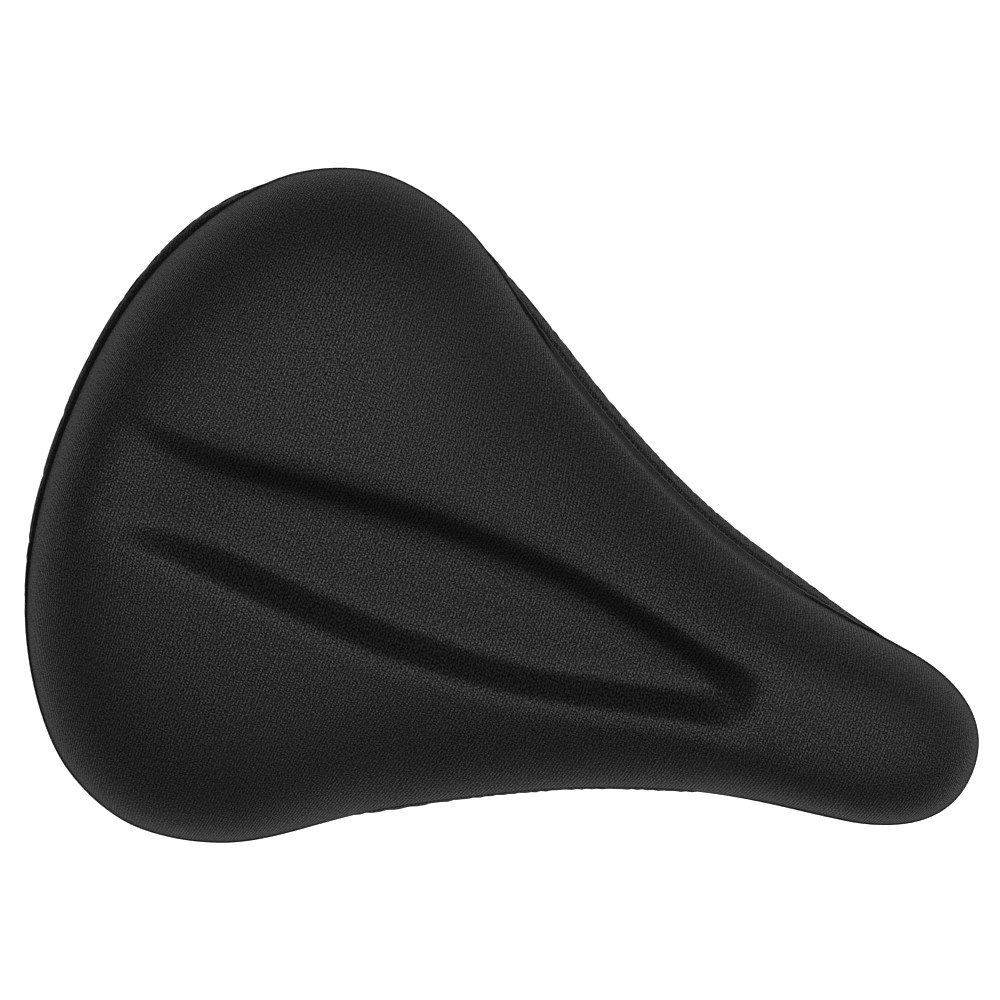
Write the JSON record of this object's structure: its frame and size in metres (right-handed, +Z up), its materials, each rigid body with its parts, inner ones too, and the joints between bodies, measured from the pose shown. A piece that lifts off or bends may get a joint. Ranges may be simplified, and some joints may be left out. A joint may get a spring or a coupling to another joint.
{
  "type": "bicycle saddle",
  "caption": "Wide padded bicycle saddle with a sunken centre channel, black knit cover, plastic base, sprung wire rails and a bolted clamp for the seatpost.",
  "frame": {"origin": "centre of the seatpost socket's open mouth, on the socket's axis, where the post enters the clamp from below", "axes": "+X towards the saddle's nose, +Y towards the rider's left, +Z up along the seatpost"},
  "size_m": [0.28, 0.2, 0.157],
  "materials": {
    "knit": "fine ribbed stretch knit, matt",
    "skirt_fabric": "fine knit, matt",
    "foam": "open-cell foam, matt",
    "gel": "soft translucent gel",
    "base_plastic": "fine texture",
    "black_steel": "black semi-gloss",
    "spring_steel": "bright plated wire",
    "zinc_steel": "bright zinc plate"
  },
  "bodies": {
    "post_clamp": {"seatpost_strap": "black_steel"},
    "rail_cradle": {"inner_clamp_plate_left": "black_steel", "inner_clamp_plate_right": "black_steel", "outer_clamp_plate_left": "black_steel", "outer_clamp_plate_right": "black_steel", "clamp_washer_left": "zinc_steel", "clamp_washer_right": "zinc_steel", "clamp_bolt": "zinc_steel", "clamp_nut": "zinc_steel"},
    "undercarriage": {"rail_frame": "black_steel", "spring_bridge": "black_steel", "rail_keeper": "black_steel", "keeper_bolt_left": "zinc_steel", "keeper_bolt_right": "zinc_steel", "keeper_nut_left": "zinc_steel", "keeper_nut_right": "zinc_steel", "lower_spring_cup_left": "black_steel", "lower_spring_cup_right": "black_steel", "lower_spring_bolt_left": "zinc_steel", "lower_spring_bolt_right": "zinc_steel", "lower_spring_nut_left": "zinc_steel", "lower_spring_nut_right": "zinc_steel", "spring_left": "spring_steel", "spring_right": "spring_steel"},
    "seat": {"cover_top": "knit", "cover_skirt": "skirt_fabric", "foam_pad": "foam", "gel_pad_left": "gel", "gel_pad_right": "gel", "base_shell": "base_plastic", "spring_plate": "black_steel", "upper_spring_cup_left": "black_steel", "upper_spring_cup_right": "black_steel", "upper_spring_bolt_left": "zinc_steel", "upper_spring_bolt_right": "zinc_steel", "plate_bolt_left": "zinc_steel", "plate_bolt_right": "zinc_steel", "nose_bracket": "base_plastic", "nose_cap": "black_steel", "nose_screw_rear": "zinc_steel", "nose_screw_front": "zinc_steel"}
  },
  "joints": [
    {"name": "seat_tilt", "type": "hinge", "parent": "post_clamp", "child": "rail_cradle", "pos_m": [0, 0, 0.05], "axis": [0, 1, 0], "range_deg": [-15, 15]},
    {"name": "fore_aft_slide", "type": "slide", "parent": "rail_cradle", "child": "undercarriage", "axis": [1, 0, 0], "range_m": [-0.02, 0.02]},
    {"name": "suspension", "type": "hinge", "parent": "undercarriage", "child": "seat", "pos_m": [0.105, 0, 0.077], "axis": [0, -1, 0], "range_deg": [0, 4], "stiffness_Nm_per_rad": 1280, "deforming": ["spring_left", "spring_right"]}
  ]
}
